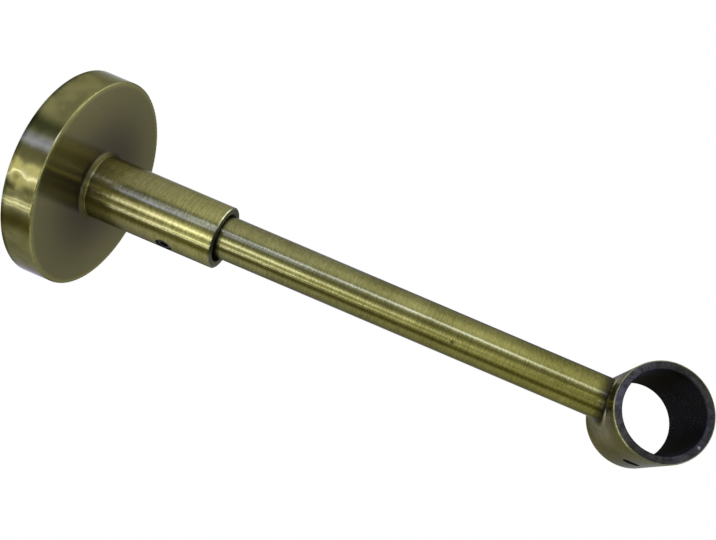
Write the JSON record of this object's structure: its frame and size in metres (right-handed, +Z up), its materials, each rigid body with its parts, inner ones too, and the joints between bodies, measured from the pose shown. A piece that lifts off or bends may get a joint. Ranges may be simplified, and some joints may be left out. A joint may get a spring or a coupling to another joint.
{
  "type": "curtain pole bracket",
  "caption": "Wall bracket for a curtain pole: a round wall rose with a sleeve, and a sliding arm that ends in a ring for the pole.",
  "frame": {"origin": "centre of the rose's back face, where the sleeve's axis meets the wall", "axes": "+Y into the wall, the arm points along -Y, X along the pole, +Z up"},
  "size_m": [0.0524, 0.1651, 0.0524],
  "materials": {
    "base_brass": "antique brass, turned and brushed, satin",
    "arm_brass": "antique brass, brushed round the tube, satin",
    "ring_brass": "antique brass, brushed, darkened inside the bore",
    "screw_steel": "black oxide"
  },
  "bodies": {
    "base": {"wall_base": "base_brass", "sleeve_grub_screw": "screw_steel"},
    "arm": {"arm_tube": "arm_brass", "pole_ring": "ring_brass"}
  },
  "joints": [
    {"name": "arm_slide", "type": "slide", "parent": "base", "child": "arm", "axis": [0, -1, 0], "range_m": [-0.009, 0.0085]}
  ]
}
